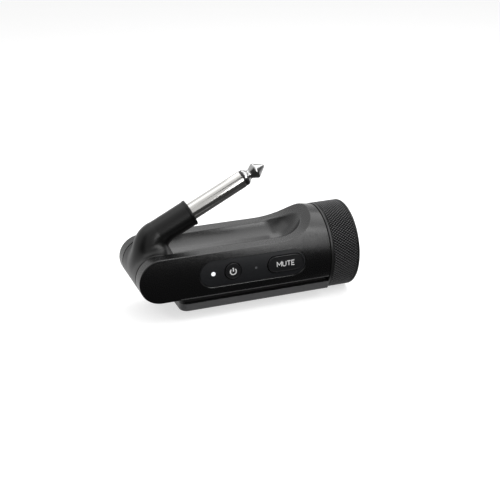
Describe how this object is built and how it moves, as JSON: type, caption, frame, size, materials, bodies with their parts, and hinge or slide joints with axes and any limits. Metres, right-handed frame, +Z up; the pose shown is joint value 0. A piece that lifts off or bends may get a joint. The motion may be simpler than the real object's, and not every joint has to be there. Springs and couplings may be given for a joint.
{
  "type": "wireless guitar transmitter",
  "caption": "Pocket wireless transmitter with a fold-out quarter-inch instrument plug, side control strip, knurled end ring and a grooved base underneath.",
  "frame": {"origin": "middle of the bounding box's lowest face: under the body, at the level of the ring's lowest point", "axes": "+X along the body from the plug hinge to the knurled ring, +Y away from the control strip, +Z up with the folding plug on top"},
  "size_m": [0.084, 0.0324, 0.0517],
  "materials": {
    "body_plastic": "soft matte",
    "rail_plastic": "fine matte",
    "panel_plastic": "smooth",
    "button_rubber": "smooth",
    "elbow_rubber": "matte",
    "ring_metal": "knurled, black anodised",
    "nickel": "bright, fine turned",
    "chrome": "polished",
    "insulator": "gloss",
    "lit_lens": "lit white",
    "dim_lens": "dark, unlit",
    "lamp": "gloss",
    "black_steel": "black oxide",
    "pin_steel": "ground",
    "tinned_steel": "tinned",
    "brass": "machined",
    "board": "solder resist",
    "chip_plastic": "moulded",
    "switch_plastic": "moulded",
    "cell_foil": "foil",
    "foam": "foam",
    "lead_rubber": "sleeving",
    "flex": "film",
    "bush_plastic": "plain"
  },
  "bodies": {
    "housing": {"main_shell": "body_plastic", "base_rail": "rail_plastic", "base_screws": "black_steel", "brass_inserts": "brass", "control_panel": "panel_plastic", "control_board": "board", "power_switch": "switch_plastic", "mute_switch": "switch_plastic", "status_led": "lamp", "mute_led": "lamp", "status_lens": "lit_lens", "mute_lens": "dim_lens", "main_board": "board", "board_screws": "black_steel", "radio_can": "tinned_steel", "board_chips": "chip_plastic", "antenna": "brass", "battery_cell": "cell_foil", "battery_pad": "foam", "battery_leads": "lead_rubber", "hinge_pins": "pin_steel", "hinge_leads": "lead_rubber", "sensor_board": "board", "hall_sensors": "chip_plastic", "usb_shell": "tinned_steel", "usb_tongue": "chip_plastic", "flex_cable": "flex", "end_cap": "rail_plastic"},
    "plug": {"plug_elbow": "elbow_rubber", "hinge_bushes": "bush_plastic", "plug_sleeve": "nickel", "plug_insulator": "insulator", "plug_tip": "chrome", "tip_lug": "brass", "plug_leads": "lead_rubber"},
    "ring": {"level_ring": "ring_metal", "ring_magnets": "chrome"},
    "power_key": {"power_button": "button_rubber", "power_plunger": "switch_plastic"},
    "mute_key": {"mute_button": "button_rubber", "mute_plunger": "switch_plastic"}
  },
  "joints": [
    {"name": "plug_fold", "type": "hinge", "parent": "housing", "child": "plug", "pos_m": [-0.03378, 0, 0.0172], "axis": [0, -1, 0], "range_deg": [-26.4, 153.6]},
    {"name": "level_turn", "type": "hinge", "parent": "housing", "child": "ring", "pos_m": [0.03622, 0, 0.01625], "axis": [1, 0, 0], "range_deg": [-135, 135]},
    {"name": "power_press", "type": "slide", "parent": "housing", "child": "power_key", "axis": [0, 1, 0], "range_m": [0, 0.00035], "stiffness_N_per_m": 600, "springref_m": -0.0003},
    {"name": "mute_press", "type": "slide", "parent": "housing", "child": "mute_key", "axis": [0, 1, 0], "range_m": [0, 0.00035], "stiffness_N_per_m": 600, "springref_m": -0.0003}
  ]
}
